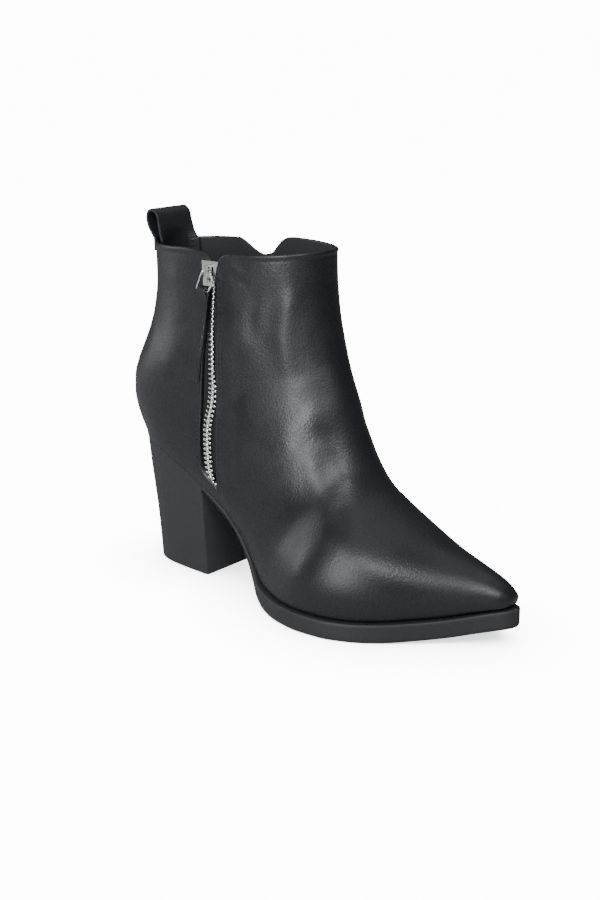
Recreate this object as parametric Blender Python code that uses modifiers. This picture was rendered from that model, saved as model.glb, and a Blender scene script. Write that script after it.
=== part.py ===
"""Zip ankle boot for the right foot, standing on its heel and forefoot.

Metres, +Z up, toe towards +X, the outer (zip) side towards -Y. The tables below are in
millimetres, with x measured from the back edge of the heel at the floor. The part's origin
is on the floor under the middle of the heel, HEEL_MIDDLE in front of that edge.
"""
import math

import bmesh
import bpy
import numpy as np
from mathutils import Matrix, Vector

MM = 0.001
HEEL_MIDDLE = 26.0

WALL = 1.8            # leather and lining of the upper
FIT = 0.3             # gap between neighbouring pieces
MARGIN = 10.0         # upper turned in under the foot
INSOLE = 2.0

BREAST = 51.0         # x of the heel's front face
LATERAL, MEDIAL = -1.0, 1.0

# Line down the middle of the top of the foot, seen from above: it swings to the inner side.
RIDGE = {
    "x": (-20.0, 60.0, 100.0, 150.0, 200.0, 237.8),
    "y": (0.0, 0.0, 0.6, 2.8, 6.8, 11.0)}

# Edge where the upper turns under, from the back of the heel seat to the toe tip:
# height, and distance of each side from the boot's own axis.
FEATHER = {
    "x": (-6.5, -5.0, -1.0, 6.0, 19.0, 35.0, 50.0, 61.0, 70.0, 79.0, 88.0, 96.0, 104.0, 115.0, 128.0,
          142.0, 156.0, 170.0, 184.0, 198.0, 211.0, 222.0, 229.5, 234.5, 236.8, 237.8),
    "z": (77.0, 76.9, 76.4, 75.2, 71.5, 65.0, 57.0, 50.5, 43.5, 34.5, 24.5, 17.0, 12.5, 10.9, 10.5,
          10.5, 10.5, 10.6, 11.0, 12.0, 13.8, 16.2, 18.2, 19.4, 20.0, 20.3),
    "lateral": (0.0, -9.8, -17.8, -23.6, -27.2, -28.0, -27.8, -27.4, -26.6, -26.4, -27.8, -31.0, -35.6,
                -41.0, -46.0, -48.2, -47.2, -42.5, -33.6, -21.5, -10.5, -1.6, 3.4, 6.6, 8.8, 11.0),
    "medial": (0.0, 9.8, 17.8, 23.4, 27.0, 27.6, 26.8, 26.0, 25.2, 24.9, 25.2, 26.0, 27.2, 29.4, 31.4,
               32.4, 32.0, 30.6, 28.6, 26.2, 23.4, 20.6, 18.0, 15.6, 13.6, 11.0)}

# Back seam, from the heel seat to above the collar.
BACK = {
    "z": (77.0, 84.0, 91.0, 99.0, 109.0, 119.0, 129.0, 139.0, 152.0, 170.0, 186.0, 200.0),
    "x": (-6.5, -10.8, -14.0, -15.9, -16.0, -13.4, -8.9, -4.4, -0.2, 2.4, 2.2, 1.8)}

# Sections of the foot. Each is cut by a plane that stands across the boot, from a point on the
# ridge down to a point on the feather edge, where it is open.
FOOT = {
    "front_x": (237.8, 238.9, 236.0, 228.6, 217.2, 202.0, 185.0, 169.0, 159.0, 152.4, 147.2, 142.2,
                138.4, 135.2, 132.6, 131.3),
    "front_z": (20.3, 25.8, 29.8, 34.6, 39.4, 45.4, 54.8, 65.0, 73.6, 84.0, 94.5, 105.5,
                116.0, 125.0, 132.5, 137.0),
    "end_x": (237.8, 235.9, 231.8, 223.4, 211.6, 195.0, 176.0, 155.0, 133.0, 111.0, 90.0, 68.0,
              45.0, 22.0, 4.0, -6.5),
    "lateral": (0.0, 5.2, 9.2, 13.6, 20.6, 32.4, 45.6, 52.4, 51.6, 43.0, 36.0, 33.8,
                33.0, 32.8, 32.6, 32.5),
    "medial": (0.0, 4.6, 7.6, 11.0, 14.8, 20.4, 25.4, 30.0, 32.0, 31.4, 30.6, 30.4,
               30.6, 31.0, 31.2, 31.2),
    "widest": (0.72, 0.72, 0.72, 0.72, 0.72, 0.72, 0.72, 0.73, 0.74, 0.72, 0.70, 0.68,
               0.67, 0.66, 0.66, 0.66),
    "power": (2.0, 2.0, 2.0, 2.0, 2.0, 2.0, 1.95, 1.85, 1.75, 1.75, 1.8, 1.9,
              2.0, 2.05, 2.1, 2.1)}

# Sections of the shaft, from the ridge to the back seam, where they close.
SHAFT = {
    "front_x": (131.3, 129.0, 126.2, 123.6, 121.7, 121.0, 121.0),
    "front_z": (137.0, 145.0, 155.0, 167.0, 180.0, 192.0, 206.0),
    "end_z": (77.0, 90.0, 108.0, 130.0, 156.0, 178.0, 198.0),
    "lateral": (32.5, 32.4, 32.0, 29.8, 28.4, 28.6, 28.8),
    "medial": (31.2, 31.2, 31.0, 29.2, 28.0, 28.4, 28.8),
    "widest": (0.66, 0.64, 0.61, 0.56, 0.52, 0.50, 0.50),
    "power": (2.1, 2.15, 2.2, 2.3, 2.4, 2.4, 2.4)}

BACK_POWER = 2.45
FRONT_STEPS = 7       # columns from the ridge to the widest line
BACK_STEPS = 6        # and from there to the edge or the back seam
TOE_ROWS = 4          # rows at the toe tip that are solid, with no inner face
SEAT_MIDDLE = 19.0    # x of the middle of the round back of the heel seat

# Collar edge on each side, from the back seam to the front: a dip where front and rear panels meet.
COLLAR = {
    LATERAL: {
        "x": (-30.0, 5.0, 18.0, 30.0, 44.0, 52.0, 59.3, 63.0, 65.2, 66.6, 68.2, 71.7, 76.5, 90.0, 106.0,
              118.0, 150.0),
        "z": (190.0, 190.2, 190.9, 191.4, 192.2, 191.6, 190.0, 187.6, 185.2, 184.8, 186.8, 190.2,
              191.7, 192.3, 193.3, 194.3, 195.5)},
    MEDIAL: {
        "x": (-30.0, 5.0, 21.0, 34.0, 39.0, 43.0, 47.0, 52.0, 58.0, 62.6, 65.6, 70.6, 78.0, 95.0, 106.0,
              118.0, 150.0),
        "z": (190.0, 190.2, 190.9, 191.2, 189.2, 186.6, 184.4, 182.8, 184.0, 188.4, 191.6, 194.0,
              194.7, 194.7, 194.6, 194.6, 195.5)}}

# Opening in the outer side of the upper in which the zip shows.
SLIT = {
    "z": (59.2, 60.4, 62.6, 65.6, 70.0, 78.0, 90.0, 106.0, 128.0, 146.0, 165.0, 174.0, 183.0, 200.0),
    "rear": (66.2, 64.0, 60.8, 57.6, 56.0, 55.6, 56.1, 57.1, 58.1, 58.6, 60.0, 61.7, 63.7, 66.0),
    "front": (66.9, 67.5, 68.0, 68.2, 68.4, 68.6, 68.5, 68.2, 67.6, 67.2, 66.7, 66.8, 67.3, 68.6)}

# Middle of the zip chain, from its lower end to the notch in the collar.
ZIP = {
    "z": (58.6, 60.6, 63.2, 67.0, 74.0, 88.0, 95.0, 101.0, 107.0, 114.0, 138.0, 145.0, 152.0, 163.0,
          175.0, 190.0),
    "x": (67.0, 65.0, 62.6, 61.6, 61.2, 61.1, 61.5, 62.7, 63.9, 64.8, 64.2, 63.2, 62.5, 62.6,
          63.9, 66.6)}

COLLAR_STEPS = 72
SLIT_STEPS = 36
COLLAR_BLEND = 4.0    # half the width of the strip where the two sides' collar lines meet
OUTSIDE = 70.0        # y beyond the boot's sides
ABOVE = 230.0         # z above the boot

TAPE = 0.8            # zip tape behind the opening
TAPE_SIDE = 11.0      # half its width
TAPE_LOW, TAPE_TOP = 54.5, 183.5
TAPE_LIFT = 5.0       # the tape ends this far above the upper's edge
TAPE_LEVELS = 18
TAPE_GAP = 0.8        # between it and the lining
CHAIN_SIDE = 3.1      # half the width of the closed teeth
CHAIN_SKIN, CHAIN_BACK = 0.5, 1.8     # depth of the chain's two faces inside the upper's skin
CHAIN_LOW, CHAIN_TOP = 63.0, 184.0
CHAIN_LEVELS = 30

# Slider: a plate that lies over the panel edges, with a window on each side of its bridge.
SLIDER = {
    "z": (173.2, 176.0, 180.0, 184.0, 186.9),
    "rear": (58.7, 58.5, 58.3, 58.1, 58.0),
    "front": (66.5, 67.0, 67.9, 69.0, 70.2)}
PLATE_BACK, PLATE_FRONT = 0.35, 1.45  # its two faces outside the upper's skin
PLATE_COLUMNS = 4
WINDOW = {"rear": (60.2, 62.2), "front": (65.2, 66.6)}
WINDOW_Z = (176.2, 183.8)
BRIDGE = {"x": (62.9, 64.5), "z": (175.6, 184.8), "height": 3.1}
EYE_Z = (177.6, 183.0)
EYE_HEIGHT = 2.3      # room for the wire between plate and bridge

PULL_Y = -31.1        # plane in which the wire ring hangs
HINGE = (62.9, PULL_Y, 181.4)         # middle of the wire inside the bridge
RING = {              # middle of the wire, from the bar in the bridge round by the front leg
    "x": (60.0, 65.8, 66.7, 63.3, 54.7, 57.8),
    "z": (181.4, 181.4, 174.6, 170.15, 171.2, 178.0)}
RING_BEND = 1.1       # how far from a corner its bend starts
WIRE = 0.6            # radius

TAB_TOP = (59.0, PULL_Y, 170.7)       # middle of the wire inside the tab's fold
TAB_END = (52.75, -33.8, 119.7)
LEATHER = 1.0         # thickness of one layer of the tab, which is folded over the wire
TAB = {               # middle of the front layer, and half its width, up to the top of the fold
    "out": (0.55, 0.55, 0.6, 0.9, 1.28, 1.42, 1.0, 0.0),
    "up": (None, -6.0, -4.0, -2.4, -1.0, 0.0, 1.0, 1.42),
    "half": (3.6, 3.6, 3.6, 3.5, 2.7, 2.6, 2.6, 2.6)}

# Middle of the pull loop's strip from its outer end over the top to its inner end: its depth
# inside the back seam's skin, and how much it bends round the heel with the wall.
LOOP = {
    "depth": (-1.15, -1.2, -2.6, -4.1, -4.5, -3.8, -0.8, 2.7, 4.3, 4.5, 4.0, 3.6, 3.55),
    "z": (184.6, 190.6, 195.0, 199.0, 203.0, 206.0, 207.6, 206.0, 202.5, 198.0, 193.5, 190.0, 183.0),
    "bend": (1.0, 1.0, 0.5, 0.15, 0.0, 0.0, 0.0, 0.0, 0.0, 0.15, 0.5, 0.9, 1.0)}
LOOP_STEPS = 30
LOOP_ENDS = (-12.0, 14.4)
LOOP_COLUMNS = 6
LOOP_THICK = 1.5
LOOP_LEVEL = 187.0    # height at which it fits the wall

HEEL_FOOT = {         # outline on the floor, from the back to the breast
    "x": (0.0, 1.5, 5.5, 12.0, 21.0, 31.0, 41.0, 51.0),
    "y": (0.0, 8.6, 14.6, 18.8, 21.2, 22.2, 22.8, 23.2)}
HEEL_BACK = {
    "z": (0.0, 15.0, 30.0, 45.0, 60.0, 77.0),
    "x": (0.0, -0.6, -1.6, -3.2, -5.0, -6.5)}

SOLE_FLOOR = {        # underside of the sole, and how far its side stands outside the upper's edge
    "x": (51.0, 61.0, 70.0, 79.0, 88.0, 96.0, 104.0, 112.0, 120.0, 176.0, 186.0, 199.0, 211.0,
          222.0, 229.5, 237.8),
    "z": (52.2, 45.6, 38.4, 28.9, 18.2, 9.6, 3.8, 0.8, 0.0, 0.0, 0.3, 1.4, 3.1, 5.5, 7.3, 9.4),
    "reach": (-0.8, -0.6, -0.4, 0.0, 0.8, 1.8, 2.6, 2.8, 2.8, 2.8, 2.8, 2.8, 2.8, 2.8, 2.8, 2.8)}
INSOLE_EASE = 2.2     # room at the insole's side
INSOLE_END = 9.0      # half the insole's width at its two ends
HEEL_INSET = 0.6      # the heel's side lies this far inside the upper's edge

INK = (0.032, 0.034, 0.040, 1.0)
SOLE_INK = (0.040, 0.039, 0.044, 1.0)
STEEL = (0.80, 0.80, 0.78, 1.0)


def curve_value(knots, values, at):
    """Smooth curve through the knots that never overshoots them (monotone cubic)."""
    x, y = np.asarray(knots, float), np.asarray(values, float)
    step, rise = np.diff(x), np.diff(y)
    slope = rise / step
    tangent = np.zeros(len(x))
    for i in range(1, len(x) - 1):
        if slope[i - 1] * slope[i] > 0.0:
            a, b = 2.0 * step[i] + step[i - 1], step[i] + 2.0 * step[i - 1]
            tangent[i] = (a + b) / (a / slope[i - 1] + b / slope[i])
    tangent[0], tangent[-1] = slope[0], slope[-1]
    at = min(max(at, x[0]), x[-1])
    i = min(int(np.searchsorted(x, at, side="right")) - 1, len(step) - 1)
    t = (at - x[i]) / step[i]
    return (y[i] * (1 + 2 * t) * (1 - t) ** 2 + tangent[i] * step[i] * t * (1 - t) ** 2
            + y[i + 1] * t * t * (3 - 2 * t) + tangent[i + 1] * step[i] * t * t * (t - 1))


def column(table, by, name, at):
    return float(curve_value(table[by], table[name], at))


def feather_z(x):
    return column(FEATHER, "x", "z", x)


def feather_y(x, side):
    return column(FEATHER, "x", "lateral" if side < 0 else "medial", x)


def ridge_y(x):
    return column(RIDGE, "x", "y", x)


def bottom_line(x, lift):
    """x and z of the point that lies lift above the feather edge's own slope at x."""
    step = 1.0
    slope = (feather_z(x + step) - feather_z(x - step)) / (2.0 * step)
    scale = lift / math.hypot(slope, 1.0)
    return x - slope * scale, feather_z(x) + scale


def under_feather(x):
    """Height of what meets the upper from below at x."""
    slope = (feather_z(x + 1.0) - feather_z(x - 1.0)) / 2.0
    return feather_z(x) - FIT * math.hypot(1.0, slope)


LAST_FOOT = len(FOOT["front_x"]) - 1
LAST_SHAFT = len(SHAFT["front_x"]) - 1


def profile_slope(table, by, name, at, step=1.0):
    return (column(table, by, name, at + step) - column(table, by, name, at - step)) / (2.0 * step)


def front_point(u, depth):
    """Point of the front profile, depth inside it."""
    path = []
    for name in ("front_x", "front_z"):
        whole = FOOT[name] + SHAFT[name][1:]
        at = [min(max(u + d, 0.0), len(whole) - 1.0) for d in (-0.25, 0.0, 0.25)]
        path.append([float(curve_value(range(len(whole)), whole, v)) for v in at])
    (x0, x, x1), (z0, z, z1) = path
    length = math.hypot(x1 - x0, z1 - z0)
    return x - depth * (z1 - z0) / length, z + depth * (x1 - x0) / length


def section(u, depth=0.0):
    """Section at u, which counts the rows of FOOT and then those of SHAFT, depth inside the skin."""
    foot = u <= LAST_FOOT
    table, v = (FOOT, u) if foot else (SHAFT, u - LAST_FOOT)
    rows = range(len(table["front_x"]))
    cut = {name: float(curve_value(rows, table[name], v)) for name in table}
    cut["front_x"], cut["front_z"] = front_point(u, depth)
    if foot:
        x = cut["end_x"]
        cut["edge"] = {side: abs(feather_y(x, side) - ridge_y(x)) for side in (LATERAL, MEDIAL)}
        shrink = min(1.0, max(0.0, (SEAT_MIDDLE - x) / (SEAT_MIDDLE - FEATHER["x"][0])))
        cut["end_x"], cut["end_z"] = bottom_line(x + depth * shrink, depth)
        for side, edge in cut["edge"].items():
            radius = abs(feather_y(SEAT_MIDDLE, side))
            cut["edge"][side] = edge - depth * (edge / radius if x < SEAT_MIDDLE else 1.0)
    else:
        seat = FEATHER["z"][0]
        top = SHAFT["end_z"][-1]
        cut["end_z"] += 1.1 * depth * (top - cut["end_z"]) / (top - seat)
        lean = profile_slope(BACK, "z", "x", cut["end_z"])
        cut["end_x"] = column(BACK, "z", "x", cut["end_z"]) + depth * math.hypot(1.0, lean)
        cut["edge"] = {LATERAL: 0.0, MEDIAL: 0.0}
    cut["wide"] = {side: max(cut[name] - depth, cut["edge"][side])
                   for side, name in ((LATERAL, "lateral"), (MEDIAL, "medial"))}
    return cut


def turn_reach(cut, side):
    """How far the wall has turned in when it comes to its lower edge: 1 where it closes."""
    return (1.0 - (cut["edge"][side] / cut["wide"][side]) ** BACK_POWER) ** (1.0 / BACK_POWER)


def half_width(cut, s, side):
    """Distance of the wall from the ridge line, s of the way from the ridge to the edge."""
    wide, top, power = cut["wide"][side], cut["widest"], cut["power"]
    if wide < 1e-6:
        return 0.0
    if s <= top:
        return wide * (1.0 - (1.0 - s / top) ** power) ** (1.0 / power)
    turn = turn_reach(cut, side) * (s - top) / (1.0 - top)
    return wide * max(1.0 - turn ** BACK_POWER, 0.0) ** (1.0 / BACK_POWER)


def wall_point(cut, s, side):
    x = cut["front_x"] + (cut["end_x"] - cut["front_x"]) * s
    z = cut["front_z"] + (cut["end_z"] - cut["front_z"]) * s
    return np.array((x, ridge_y(x) + side * half_width(cut, s, side), z))


def column_places(cut, side):
    """Places along a section, spaced evenly round its two rounded quarters."""
    top = cut["widest"]
    front = [top * (1.0 - math.cos(0.5 * math.pi * i / FRONT_STEPS)) for i in range(FRONT_STEPS + 1)]
    if cut["wide"][side] < 1e-6:
        sweep = 0.5 * math.pi
    else:
        sweep = math.asin(min(turn_reach(cut, side), 1.0))
    back = [top + (1.0 - top) * math.sin(sweep * i / BACK_STEPS) / max(math.sin(sweep), 1e-9)
            for i in range(1, BACK_STEPS + 1)]
    return front + back


def wall_y(x, z, side, depth=0.0):
    """y of the upper's wall, depth inside its skin, where it is seen at x, z from that side."""
    low, high = 0.5, float(LAST_FOOT + LAST_SHAFT)
    for _ in range(36):
        u = 0.5 * (low + high)
        cut = section(u, depth)
        run = (cut["end_x"] - cut["front_x"], cut["end_z"] - cut["front_z"])
        away = (x - cut["front_x"], z - cut["front_z"])
        if run[0] * away[1] - run[1] * away[0] < 0.0:
            low = u
        else:
            high = u
    s = (away[0] * run[0] + away[1] * run[1]) / (run[0] ** 2 + run[1] ** 2)
    return wall_point(cut, min(max(s, 0.0), 1.0), side)[1]


PARTS = "zip_ankle_boot"
CUTTERS = "cutters"


def clear_scene():
    for obj in list(bpy.data.objects):
        bpy.data.objects.remove(obj, do_unlink=True)
    for name in (PARTS, CUTTERS):
        if name in bpy.data.collections:
            bpy.data.collections.remove(bpy.data.collections[name])
        bpy.context.scene.collection.children.link(bpy.data.collections.new(name))


def material(name, colour, roughness, metallic=0.0):
    mat = bpy.data.materials.new(name)
    mat.use_nodes = True
    shader = mat.node_tree.nodes["Principled BSDF"]
    shader.inputs["Base Color"].default_value = colour
    shader.inputs["Roughness"].default_value = roughness
    shader.inputs["Metallic"].default_value = metallic
    return mat


def to_part(point):
    """A point of the tables, in millimetres, as a place in the part, in metres."""
    return ((point[0] - HEEL_MIDDLE) * MM, point[1] * MM, point[2] * MM)


def add_object(name, bm, mat, folder=PARTS):
    mesh = bpy.data.meshes.new(name)
    bm.to_mesh(mesh)
    bm.free()
    obj = bpy.data.objects.new(name, mesh)
    bpy.data.collections[folder].objects.link(obj)
    if mat is not None:
        mesh.materials.append(mat)
        mesh.shade_smooth()
    return obj


def skin(bm, rows, closed=False):
    """Faces between rows of points in millimetres; points of a row that coincide are merged."""
    grid = [[bm.verts.new(to_part(p)) for p in row] for row in rows]
    count = len(grid[0])
    for near, far in zip(grid, grid[1:]):
        for i in range(count if closed else count - 1):
            j = (i + 1) % count
            bm.faces.new((near[i], near[j], far[j], far[i]))
    return grid


def tidy(bm, distance=0.02 * MM):
    bmesh.ops.remove_doubles(bm, verts=bm.verts[:], dist=distance)
    bmesh.ops.dissolve_degenerate(bm, edges=bm.edges[:], dist=1e-7)
    bmesh.ops.recalc_face_normals(bm, faces=bm.faces[:])


def close_ends(bm):
    """Merges what coincides and closes the open ends of a loft."""
    tidy(bm)
    bmesh.ops.holes_fill(bm, edges=bm.edges[:], sides=0)
    bmesh.ops.recalc_face_normals(bm, faces=bm.faces[:])


def cut_away(obj, cutter):
    cutter.hide_render = True
    cutter.display_type = "WIRE"
    boolean = obj.modifiers.new(cutter.name, "BOOLEAN")
    boolean.operation = "DIFFERENCE"
    boolean.solver = "EXACT"
    boolean.object = cutter


def side_cutter(name, outlines):
    """Block across the boot, through closed outlines in x and z, each at its own y."""
    bm = bmesh.new()
    skin(bm, [[(x, y, z) for x, z in outline] for y, outline in outlines], closed=True)
    close_ends(bm)
    return add_object(name, bm, None, CUTTERS)


def collar_cutter():
    """What lies above the collar edge; the two sides meet in a narrow strip at front and back."""
    outlines = {}
    for side in (LATERAL, MEDIAL):
        line = COLLAR[side]
        low, high = line["x"][0], line["x"][-1]
        along = [low + (high - low) * i / COLLAR_STEPS for i in range(COLLAR_STEPS + 1)]
        outlines[side] = [(x, column(line, "x", "z", x)) for x in along]
        outlines[side] += [(high, ABOVE), (low, ABOVE)]
    return side_cutter("above_collar", [
        (-OUTSIDE, outlines[LATERAL]), (-COLLAR_BLEND, outlines[LATERAL]),
        (COLLAR_BLEND, outlines[MEDIAL]), (OUTSIDE, outlines[MEDIAL])])


def slit_cutter():
    low, high = SLIT["z"][0], SLIT["z"][-1]
    levels = [low + (high - low) * i / SLIT_STEPS for i in range(SLIT_STEPS + 1)]
    outline = [(column(SLIT, "z", "rear", z), z) for z in levels]
    outline += [(column(SLIT, "z", "front", z), z) for z in reversed(levels)]
    return side_cutter("zip_opening", [(-OUTSIDE, outline), (-COLLAR_BLEND, outline)])


def section_stations():
    """Values of u of the upper's rows, closer where its edge turns at the toe and the heel."""
    rows = []
    for i in range(LAST_FOOT + LAST_SHAFT):
        parts = 3 if i < 3 or LAST_FOOT - 3 <= i < LAST_FOOT else 2
        rows += [i + k / parts for k in range(parts)]
    return rows + [float(LAST_FOOT + LAST_SHAFT)]


def edge_stations(first, last):
    """Values of x between first and last at which the upper's rows meet its edge."""
    rows = [section(u)["end_x"] for u in section_stations() if u <= LAST_FOOT]
    return [first] + sorted(x for x in rows if first + 1.0 < x < last - 0.01) + [last]


def upper_row(u, depth):
    """Points of one row of the upper: margin, outer side, ridge, inner side, margin."""
    cut, skin_cut = section(u, depth), section(u)
    half = {}
    for side in (LATERAL, MEDIAL):
        wall = [wall_point(cut, s, side) for s in column_places(cut, side)]
        edge = cut["edge"][side]
        opening = max(skin_cut["edge"][side] - MARGIN, 0.0)
        axis = ridge_y(cut["end_x"])
        margin = [(cut["end_x"], axis + side * (edge + (opening - edge) * t), cut["end_z"])
                  for t in (0.5, 1.0)]
        half[side] = wall + margin
    return half[LATERAL][:0:-1] + half[MEDIAL]


def make_upper(mat):
    """The upper is lofted twice, for its skin and its lining, and the two are joined."""
    bm = bmesh.new()
    stations_u = section_stations()
    outer = skin(bm, [upper_row(u, 0.0) for u in stations_u])
    inner = skin(bm, [upper_row(u, WALL) for u in stations_u[TOE_ROWS:]])
    bm.faces.new(inner[0])
    for i in range(len(outer[-1]) - 1):
        bm.faces.new((outer[-1][i], outer[-1][i + 1], inner[-1][i + 1], inner[-1][i]))
    is_open = [max(section(u)["edge"].values()) > MARGIN for u in stations_u]
    for k in range(TOE_ROWS + 1, len(outer)):
        if is_open[k - 1] or is_open[k]:
            for end in (0, -1):
                bm.faces.new((outer[k - 1][end], outer[k][end],
                              inner[k - TOE_ROWS][end], inner[k - TOE_ROWS - 1][end]))
    tidy(bm)
    obj = add_object("upper", bm, mat)
    cut_away(obj, collar_cutter())
    cut_away(obj, slit_cutter())
    return obj


def edge_point(x, side, reach):
    """Point in plan that lies reach outside the feather outline."""
    last = FEATHER["x"][-1]
    if x >= last - 1e-6:
        return last + reach, feather_y(last, side)
    step = min(0.4, last - x)
    run, rise = 2.0 * step, feather_y(x + step, side) - feather_y(x - step, side)
    length = math.hypot(run, rise)
    return x - side * rise / length * reach, feather_y(x, side) + side * run / length * reach


def make_outsole(mat):
    rows = []
    first = BREAST + FIT
    for x in edge_stations(first, FEATHER["x"][-1]):
        top = under_feather(x)
        floor = column(SOLE_FLOOR, "x", "z", x)
        reach = column(SOLE_FLOOR, "x", "reach", x)
        levels = ((-1.2, floor), (-0.3, floor + 0.9), (0.0, top - 0.7), (-0.6, top))
        sides = {}
        for side in (LATERAL, MEDIAL):
            sides[side] = []
            for inset, z in levels:
                px, py = edge_point(x, side, reach + inset)
                px = max(px, first)
                sides[side].append((px, py, z))
        rows.append(sides[LATERAL] + sides[MEDIAL][::-1])
    bm = bmesh.new()
    skin(bm, rows, closed=True)
    close_ends(bm)
    return add_object("outsole", bm, mat)


def make_heel(mat):
    levels = 6
    seat = edge_stations(FEATHER["x"][0], BREAST)
    count = len(seat) - 1
    rows = []
    for k in range(levels + 1):
        w = k / levels
        row = []
        for side in (LATERAL, MEDIAL):
            half = []
            for i in range(count + 1):
                seat_x = seat[i]
                t = (seat_x - seat[0]) / (BREAST - seat[0])
                foot_x = HEEL_FOOT["x"][-1] * t
                foot_y = column(HEEL_FOOT, "x", "y", foot_x)
                seat_y = abs(feather_y(seat_x, side)) * (1.0 - HEEL_INSET / 27.0)
                z = under_feather(seat_x) * w
                bow = column(HEEL_BACK, "z", "x", z) - HEEL_BACK["x"][-1] * z / HEEL_BACK["z"][-1]
                x = foot_x + (seat_x - foot_x) * w + bow * (1.0 - t)
                half.append((x, side * (foot_y + (seat_y - foot_y) * w), z))
            row.append(half)
        rows.append(row[0][::-1] + row[1][1:])
    bm = bmesh.new()
    grid = skin(bm, rows, closed=True)
    for loop in (grid[0], grid[-1]):
        for i in range(count):
            bm.faces.new((loop[i], loop[i + 1], loop[-2 - i], loop[-1 - i]) if i < count - 1
                         else (loop[i], loop[i + 1], loop[-1 - i]))
    tidy(bm)
    obj = add_object("heel", bm, mat)
    bevel = obj.modifiers.new("edges", "BEVEL")
    bevel.width = 0.6 * MM
    bevel.segments = 2
    bevel.limit_method = "ANGLE"
    bevel.angle_limit = math.radians(40.0)
    return obj


def make_insole(mat):
    rows = []
    for u in section_stations():
        low, top = section(u, WALL + FIT), section(u, WALL + FIT + INSOLE)
        half = [top["edge"][side] - INSOLE_EASE for side in (LATERAL, MEDIAL)]
        if min(half) < INSOLE_END:
            continue
        across = (-half[0], -0.5 * half[0], 0.0, 0.5 * half[1], half[1])
        rows.append([(low["end_x"], ridge_y(low["end_x"]) + y, low["end_z"]) for y in across]
                    + [(top["end_x"], ridge_y(low["end_x"]) + y, top["end_z"])
                       for y in reversed(across)])
    bm = bmesh.new()
    skin(bm, rows, closed=True)
    close_ends(bm)
    return add_object("insole", bm, mat)


def spread(low, high, count):
    return [low + (high - low) * i / count for i in range(count + 1)]


def plate(rows):
    """Closed strip through rows of (x, z) on the outer side, between two depths in its wall."""
    rings = []
    for points, near, far in rows:
        rings.append([(x, wall_y(x, z, LATERAL, near), z) for x, z in points]
                     + [(x, wall_y(x, z, LATERAL, far), z) for x, z in reversed(points)])
    bm = bmesh.new()
    skin(bm, rings, closed=True)
    close_ends(bm)
    return bm


def make_zip_tape(mat):
    rows = []
    for t in spread(0.0, 1.0, TAPE_LEVELS):
        points = []
        for offset in spread(-TAPE_SIDE, TAPE_SIDE, 6):
            x = column(ZIP, "z", "x", CHAIN_LOW) + offset
            low = max(TAPE_LOW, feather_z(x) + TAPE_LIFT)
            z = low + (TAPE_TOP - low) * t
            points.append((column(ZIP, "z", "x", max(z, CHAIN_LOW)) + offset, z))
        rows.append((points, WALL + TAPE_GAP, WALL + TAPE_GAP + TAPE))
    return add_object("zip_tape", plate(rows), mat)


def make_zip_chain(mat):
    """The chain's joined teeth; it is as wide as the opening lets it be."""
    rows = []
    for z in spread(CHAIN_LOW, CHAIN_TOP, CHAIN_LEVELS):
        middle = column(ZIP, "z", "x", z)
        rear = max(middle - CHAIN_SIDE, column(SLIT, "z", "rear", z) + FIT)
        front = min(middle + CHAIN_SIDE, column(SLIT, "z", "front", z) - FIT)
        rows.append(([(x, z) for x in spread(rear, front, 2)], CHAIN_SKIN, CHAIN_BACK))
    return add_object("zip_chain", plate(rows), mat)


def block(name, x, y, z):
    """Box-shaped cutter between two values on each axis."""
    return side_cutter(name, [(y[0], [(x[0], z[0]), (x[1], z[0]), (x[1], z[1]), (x[0], z[1])]),
                              (y[1], [(x[0], z[0]), (x[1], z[0]), (x[1], z[1]), (x[0], z[1])])])


def make_slider(mat):
    rows = []
    for z in spread(SLIDER["z"][0], SLIDER["z"][-1], 2 * len(SLIDER["z"]) - 2):
        rear, front = column(SLIDER, "z", "rear", z), column(SLIDER, "z", "front", z)
        rows.append(([(x, z) for x in spread(rear, front, PLATE_COLUMNS)],
                     -PLATE_FRONT, -PLATE_BACK))
    obj = add_object("zip_slider", plate(rows), mat)
    middle = 0.5 * (BRIDGE["z"][0] + BRIDGE["z"][1])
    face = wall_y(BRIDGE["x"][0], middle, LATERAL) - PLATE_FRONT
    bridge = block("bridge", BRIDGE["x"], (face + 0.6, face - BRIDGE["height"]), BRIDGE["z"])
    bridge.hide_render = True
    bridge.display_type = "WIRE"
    join = obj.modifiers.new("bridge", "BOOLEAN")
    join.operation = "UNION"
    join.solver = "EXACT"
    join.object = bridge
    cut_away(obj, block("eye", (BRIDGE["x"][0] - 1.0, BRIDGE["x"][1] + 1.0),
                        (face + 0.2, face - EYE_HEIGHT), EYE_Z))
    for name, x in WINDOW.items():
        cut_away(obj, block(name + "_window", x, (face + 4.0, face - 1.5), WINDOW_Z))
    return obj


def rounded(corners, radius, steps=4):
    """Closed path through the corners, each of them rounded from radius away."""
    path = []
    for i, corner in enumerate(corners):
        corner = np.array(corner)
        before, after = np.array(corners[i - 1]), np.array(corners[(i + 1) % len(corners)])
        start = corner + (before - corner) / np.linalg.norm(before - corner) * radius
        end = corner + (after - corner) / np.linalg.norm(after - corner) * radius
        path += [(1 - t) ** 2 * start + 2 * t * (1 - t) * corner + t * t * end
                 for t in spread(0.0, 1.0, steps)]
    return path


def add_to_pull(obj, hinge):
    obj.parent = hinge
    obj.matrix_local = Matrix.Translation(-hinge.location) @ obj.matrix_local


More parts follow.
